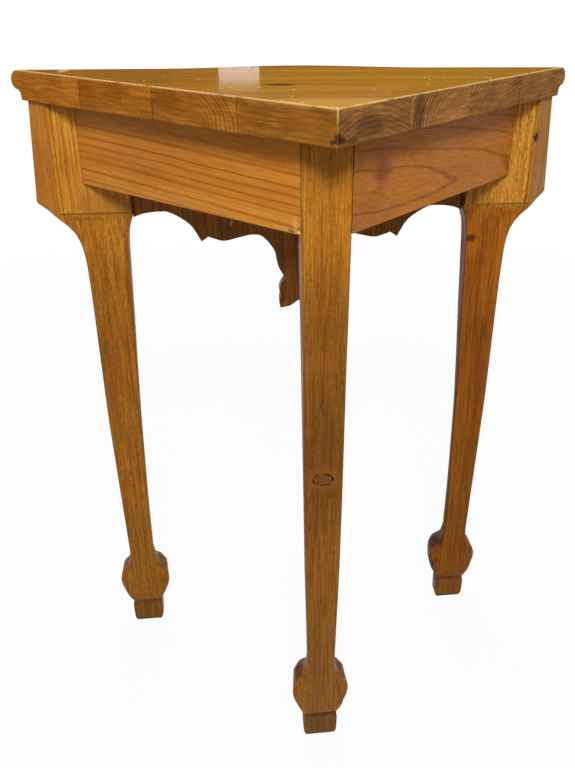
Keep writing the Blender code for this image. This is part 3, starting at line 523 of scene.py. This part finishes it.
# Marks on the top: centre, radii, colour, amount
TOP_MARKS = [
    # Opened glue joint, and the darker wood beside it
    ((0.0315, 0.0195, 0.750), (0.0170, 0.0095, 0.002), (0.045, 0.018, 0.003), 0.95),
    ((-0.010, 0.0195, 0.750), (0.0450, 0.0060, 0.002), (0.150, 0.062, 0.006), 0.45),
    # Red and pale smears near the right end
    ((0.2325, -0.1089, 0.750), (0.0120, 0.0150, 0.002), (0.42, 0.075, 0.012), 0.5),
    ((0.2450, -0.1120, 0.750), (0.0060, 0.0200, 0.002), (0.62, 0.46, 0.32), 0.5),
    # Painted sheen: a paler field at the back corner; beside it a dark stretch under the rim
    ((0.000, 0.150, 0.751), (0.090, 0.040, 0.006), (0.56, 0.29, 0.040), 0.30),
    ((0.0120, 0.1570, 0.7464), (0.0150, 0.0150, 0.0026), (0.10, 0.045, 0.012), 0.55),
    # Dents at the foot of the back corner
    ((-0.0006, 0.1680, 0.7272), (0.0044, 0.0044, 0.0056), (0.035, 0.014, 0.004), 0.85),
    ((0.0034, 0.1652, 0.7246), (0.0034, 0.0034, 0.0022), (0.050, 0.020, 0.006), 0.75),
    ((-0.0044, 0.1643, 0.7256), (0.0052, 0.0052, 0.0036), (0.040, 0.016, 0.005), 0.80),
    ((-0.0140, 0.1547, 0.7240), (0.0100, 0.0100, 0.0028), (0.060, 0.028, 0.010), 0.50),
    # Stains on the side edges, the last a pale line at a joint
    ((0.1326, 0.0361, 0.7398), (0.0160, 0.0160, 0.010), (0.17, 0.060, 0.007), 0.45),
    ((0.0300, 0.1390, 0.7330), (0.0260, 0.0260, 0.006), (0.17, 0.064, 0.008), 0.35),
    ((-0.0300, 0.1390, 0.7320), (0.0250, 0.0250, 0.010), (0.080, 0.037, 0.013), 0.60),
    ((-0.0830, 0.0860, 0.7350), (0.0105, 0.0105, 0.020), (0.070, 0.034, 0.014), 0.62),
    ((-0.0738, 0.0952, 0.7350), (0.0016, 0.0016, 0.013), (0.55, 0.30, 0.09), 0.60),
]
# Top boards: pith, ring spacing, start and calm radius, then lightness and ring strength at the
# left end and at the right end
BOARDS = {
    "top_board_1": ((0, 0.134, 0.676), 0.0042, 0.30, 0.030, (0.98, 0.46), (0.88, 0.15)),
    "top_board_2": ((0, 0.034, 0.716), 0.0034, 0.20, 0.040, (1.36, 0.95), (1.08, 0.70)),
    "top_board_3": ((0, -0.086, 0.665), 0.0035, 0.25, 0.030, (1.38, 1.00), (1.36, 0.60)),
    "top_board_4": ((0, -0.150, 0.660), 0.0036, 0.30, 0.030, (1.44, 0.95), (1.60, 0.20)),
}
TOP_LOOK = dict(
    marks=TOP_MARKS, tints=[((0.06, 0, 0), ALONG_X, 0.10, (0.80, 0.68, 0.50), 0.80)], lines=0.9, wave=0.004,
    fibre=0.4, band=0.4, blotch=0.3, dust=0.9, corner_shade=0.15, wear=0.85, rough=0.45, coat=0.022, specular=0.0)
for board, (pith, spacing, start, calm, left_end, right_end) in BOARDS.items():
    ends = (end_grain(END_GREY, *left_end), end_grain(END_GOLD, *right_end))
    finish(board, pine(
        board + "_pine", OLIVE, ALONG_X, pith, spacing, start=start, calm=calm, ends=ends, **TOP_LOOK))

# Right back apron: straight rings, a paler lower edge, and a small break in that edge by the back leg
finish("right_back_apron", pine(
    "orange_pine", ORANGE, RIGHT_SLANT, (0.10, 0.0, 0.724), 0.0080,
    lines=1.0, start=0.62, wave=0.003, fibre=0.35, band=0.25, blotch=0.3,
    tints=[below(0.6535, 0.002, (1.08, 1.17, 1.40))],
    marks=[((0.0270, 0.1075, 0.6450), (0.0032, 0.0032, 0.0055), (0.70, 0.42, 0.11), 0.6),
           ((0.0240, 0.1100, 0.6385), (0.0020, 0.0020, 0.0016), (0.80, 0.62, 0.34), 0.8),
           ((0.0300, 0.1044, 0.6385), (0.0040, 0.0040, 0.0014), (0.10, 0.045, 0.010), 0.7)]))

# Left back apron: slanted grain whose rings close in a long tongue, and a red knot with a pale patch under it
finish("left_back_apron", pine(
    "rose_pine", ROSE, LEFT_SLANT, (-0.0518, 0.0792, 0.6674), 0.0165,
    lines=0.80, start=0.78, sway=0.3, phase=5.6185, wave=0.002, fibre=0.4, band=0.2, blotch=0.3,
    tints=[((-0.045, 0.09, 0), (-1, -1, 0), 0.05, (1.12, 1.12, 1.05), 1.0)],
    marks=[((-0.0418, 0.0930, 0.6745), (0.0090, 0.0090, 0.0060), (0.60, 0.26, 0.050), 0.22)],
    heart=(0.33, 0.086, 0.015), outline=0.5,
    knots=[Knot((-0.0537, 0.0811, 0.684), (-1, 1, 0), (0.0076, 0.0084), (0.012, 0.016), 0.003, 0.0034)]))

# Legs: darkened arrises, a dark upper side of the feet, and a painted shadow in the groove above the pads
LEG_WEAR = dict(rim=LEG_RIM, wear=0.6)
FOOT_TOP = (UPRIGHT, 0.34, 0.66, (0.52, 0.46, 0.40))
PAD_TOP, PAD_FADE = 0.036, 0.003
PAD_SHADE = below(PAD_TOP, PAD_FADE, (0.66, 0.66, 1.05))


# Painted shadow of the bulb of each foot on its pad: a flat dark ring at the top of the pad
def painted_pad_shadow(x, y):
    return (x, y, 0.0362), (0.050, 0.050, 0.0022), (0.060, 0.022, 0.006), 0.7


finish("back_leg", pine(
    "back_leg_pine", HONEY, UPRIGHT, (0.115, 0.06, 0.3), 0.0030,
    lines=0.16, start=0.2, fibre=0.66, blotch=0.50, grit=0.40, low_grit=0.42,
    # The first two tints are painted shade, darker down the leg below its block; the third makes it lighter
    # again towards the foot
    tints=[below(0.640, 0.09, (0.62, 0.60, 0.60)), below(0.530, 0.09, (0.74, 0.72, 0.68)),
           below(0.380, 0.10, (1.34, 1.38, 1.50)), overall((0.94, 0.94, 1.0)), PAD_SHADE],
    shaded=[FOOT_TOP], marks=[painted_pad_shadow(0, 0.100)], **LEG_WEAR,
    knots=[Knot((0.0006, 0.1124, 0.380), ALONG_Y, (0.0100, 0.0068), (0.014, 0.020), 0.006, 0.0018)]))
finish("right_front_leg", pine(
    "right_leg_pine", HONEY, UPRIGHT, (0.24, -0.19, 0.3), 0.0036,
    lines=0.35, fibre=0.70, grit=0.30, low_grit=0.50,
    # The second tint is painted shade, darker down the leg below its block
    tints=[above(0.596, 0.012, (1.32, 1.47, 1.9)), below(0.60, 0.10, (0.72, 0.70, 0.68)), PAD_SHADE],
    shaded=[FOOT_TOP], **LEG_WEAR,
    marks=[painted_pad_shadow(0.185, -0.120),
           # The second mark is a painted shadow of the apron on the lower face of the block
           ((0.2150, -0.103, 0.6130), (0.0400, 0.030, 0.0170), (0.33, 0.130, 0.018), 0.65)]))
finish("left_front_leg", pine(
    "left_leg_pine", AMBER, UPRIGHT, (-0.215, -0.20, 0.3), 0.0036,
    lines=0.45, fibre=0.75, grit=0.65, low_grit=0.28, specular=0.08,
    # The second tint is painted shade, darker down the leg below its block
    tints=[above(0.590, 0.02, (1.52, 2.12, 4.4)), below(0.56, 0.16, (0.74, 0.74, 0.74)),
           below(PAD_TOP, PAD_FADE, (0.94, 1.08, 2.0))],
    # The second shaded entry is painted shade on the leg's inner side, the face turned towards +x
    shaded=[FOOT_TOP, (ALONG_X, 0.5, 0.8, (0.42, 0.38, 0.36))], marks=[painted_pad_shadow(-0.185, -0.120)], **LEG_WEAR,
    heart=(0.15, 0.034, 0.003),
    knots=[Knot((-0.2036, -0.110, 0.561), ALONG_Y, (0.0044, 0.0034), (0.010, 0.016), 0.003, 0.0042)]))
finish("right_knee_wing", pine(
    "right_wing_pine", HONEY, UPRIGHT, (0.30, -0.22, 0.6), 0.0040,
    lines=0.45, grit=0.3, tints=[overall((1.20, 1.14, 0.87))], **LEG_WEAR))
finish("left_knee_wing", pine(
    "left_wing_pine", HONEY, UPRIGHT, (-0.30, -0.21, 0.6), 0.0036,
    lines=0.5, grit=0.3, tints=[overall((0.86, 0.90, 0.97))], **LEG_WEAR, heart=(0.060, 0.018, 0.003),
    knots=[Knot((-0.2660, -0.1033, 0.678), ALONG_Y, (0.0030, 0.0046), (0.010, 0.014), 0.002, 0.0034)]))

# Front apron, as seen from its inside, with one pale scar
finish("front_apron", pine(
    "brown_pine", BROWN, UPRIGHT, (0, -0.18, 0.5), 0.006,
    lines=0.6, fibre=0.8, blotch=0.6, tints=[below(0.54, 0.03, (1.52, 1.48, 1.60))],
    marks=[((0.0799, -0.1140, 0.5830), (0.0022, 0.030, 0.0040), (0.60, 0.38, 0.18), 0.7)]))

# Hidden pieces: end of the node's name, material
RAW_LOOK = dict(wear=0.2, rough=0.6)
BATTEN_PITH = (0, 0.1, 0.5)
HIDDEN = (
    ("_corner_block", pine("raw_pine", RAW, UPRIGHT, (0, 0.3, 0.6), 0.004, **RAW_LOOK)),
    ("right_top_cleat", pine("raw_batten_right", RAW, RIGHT_WALL, BATTEN_PITH, 0.004, **RAW_LOOK)),
    ("left_top_cleat", pine("raw_batten_left", RAW, LEFT_WALL, BATTEN_PITH, 0.004, **RAW_LOOK)),
    ("_front_cleat", pine("raw_batten_front", RAW, ALONG_X, BATTEN_PITH, 0.004, **RAW_LOOK)),
    ("_dowel", pine("beech_rod", RAW, UPRIGHT, (0, 0.3, 0.6), 0.002, wear=0.0, rough=0.6)),
)
steel = metal("brassed_steel", BRASS)
for node in NODES:
    for ending, material in HIDDEN:
        if node.endswith(ending):
            finish(node, material)
    if "_screw_" in node:
        finish(node, steel)


def floor():
    """Pale floor: white to the camera, with the object's shadow kept in its diffuse share."""
    bpy.ops.mesh.primitive_plane_add(size=FLOOR_SIZE, location=(0, 0, -FLOOR_DROP))
    plane = bpy.context.object
    plane.name = "studio_floor"
    g = Graph("pale_floor")
    diffuse = g.add("ShaderNodeBsdfDiffuse")
    grain = g.noise(g.stretched(g.place, FLOOR_GRAIN), 3)
    g.put(g.blend(grain, *FLOOR_TONES), diffuse.inputs["Color"])
    glow = g.add("ShaderNodeEmission")
    rays = g.add("ShaderNodeLightPath").outputs
    seen = g.math("MAXIMUM", rays["Is Glossy Ray"], rays["Is Transmission Ray"])
    seen = g.math("MAXIMUM", rays["Is Camera Ray"], seen)
    white = g.span(g.vector("LENGTH", g.place), *FLOOR_FADE, FLOOR_GLOW, 1.0)
    mixed = g.add("ShaderNodeMixShader")
    g.put(g.times(seen, white), mixed.inputs[0])
    g.put(diffuse.outputs[0], mixed.inputs[1])
    g.put(glow.outputs[0], mixed.inputs[2])
    g.put(mixed.outputs[0], g.output.inputs["Surface"])
    plane.data.materials.append(g.material)


def world():
    """White to the camera and in reflections, a plain soft light to everything else."""
    sky = bpy.data.worlds.new("studio_world")
    bpy.context.scene.world = sky
    sky.use_nodes = True
    tree = sky.node_tree
    tree.nodes.clear()
    light, white = (tree.nodes.new("ShaderNodeBackground") for _ in range(2))
    for background in (light, white):
        background.inputs["Color"].default_value = (1, 1, 1, 1)
    light.inputs["Strength"].default_value = WORLD_LIGHT
    rays = tree.nodes.new("ShaderNodeLightPath").outputs
    seen = rays["Is Camera Ray"]
    for kind in ("Is Glossy Ray", "Is Transmission Ray"):
        either = tree.nodes.new("ShaderNodeMath")
        either.operation = "MAXIMUM"
        tree.links.new(seen, either.inputs[0])
        tree.links.new(rays[kind], either.inputs[1])
        seen = either.outputs[0]
    mix = tree.nodes.new("ShaderNodeMixShader")
    tree.links.new(seen, mix.inputs[0])
    tree.links.new(light.outputs[0], mix.inputs[1])
    tree.links.new(white.outputs[0], mix.inputs[2])
    out = tree.nodes.new("ShaderNodeOutputWorld")
    tree.links.new(mix.outputs[0], out.inputs["Surface"])


def lamps():
    for name, place, target, width, height, power in LAMPS:
        lamp = bpy.data.lights.new(name, "AREA")
        lamp.shape = "RECTANGLE"
        lamp.size = width
        lamp.size_y = height
        lamp.energy = power
        holder = bpy.data.objects.new(name, lamp)
        bpy.context.scene.collection.objects.link(holder)
        holder.location = place
        aim = Vector(target) - Vector(place)
        holder.rotation_euler = aim.to_track_quat("-Z", "Y").to_euler()


def camera():
    lens = bpy.data.cameras.new("photo_camera")
    lens.lens = CAMERA_LENS
    lens.sensor_width = CAMERA_SENSOR
    lens.shift_x = CAMERA_SHIFT
    lens.clip_start = CAMERA_NEAR
    lens.clip_end = CAMERA_FAR
    holder = bpy.data.objects.new("photo_camera", lens)
    bpy.context.scene.collection.objects.link(holder)
    turn = (Matrix.Rotation(CAMERA_HEADING, 4, "Z") @ Matrix.Rotation(math.pi / 2 - CAMERA_PITCH, 4, "X")
            @ Matrix.Rotation(CAMERA_ROLL, 4, "Z"))
    holder.matrix_world = Matrix.Translation(CAMERA_PLACE) @ turn
    bpy.context.scene.camera = holder


floor()
world()
lamps()
camera()
bpy.context.scene.view_settings.view_transform = "Standard"
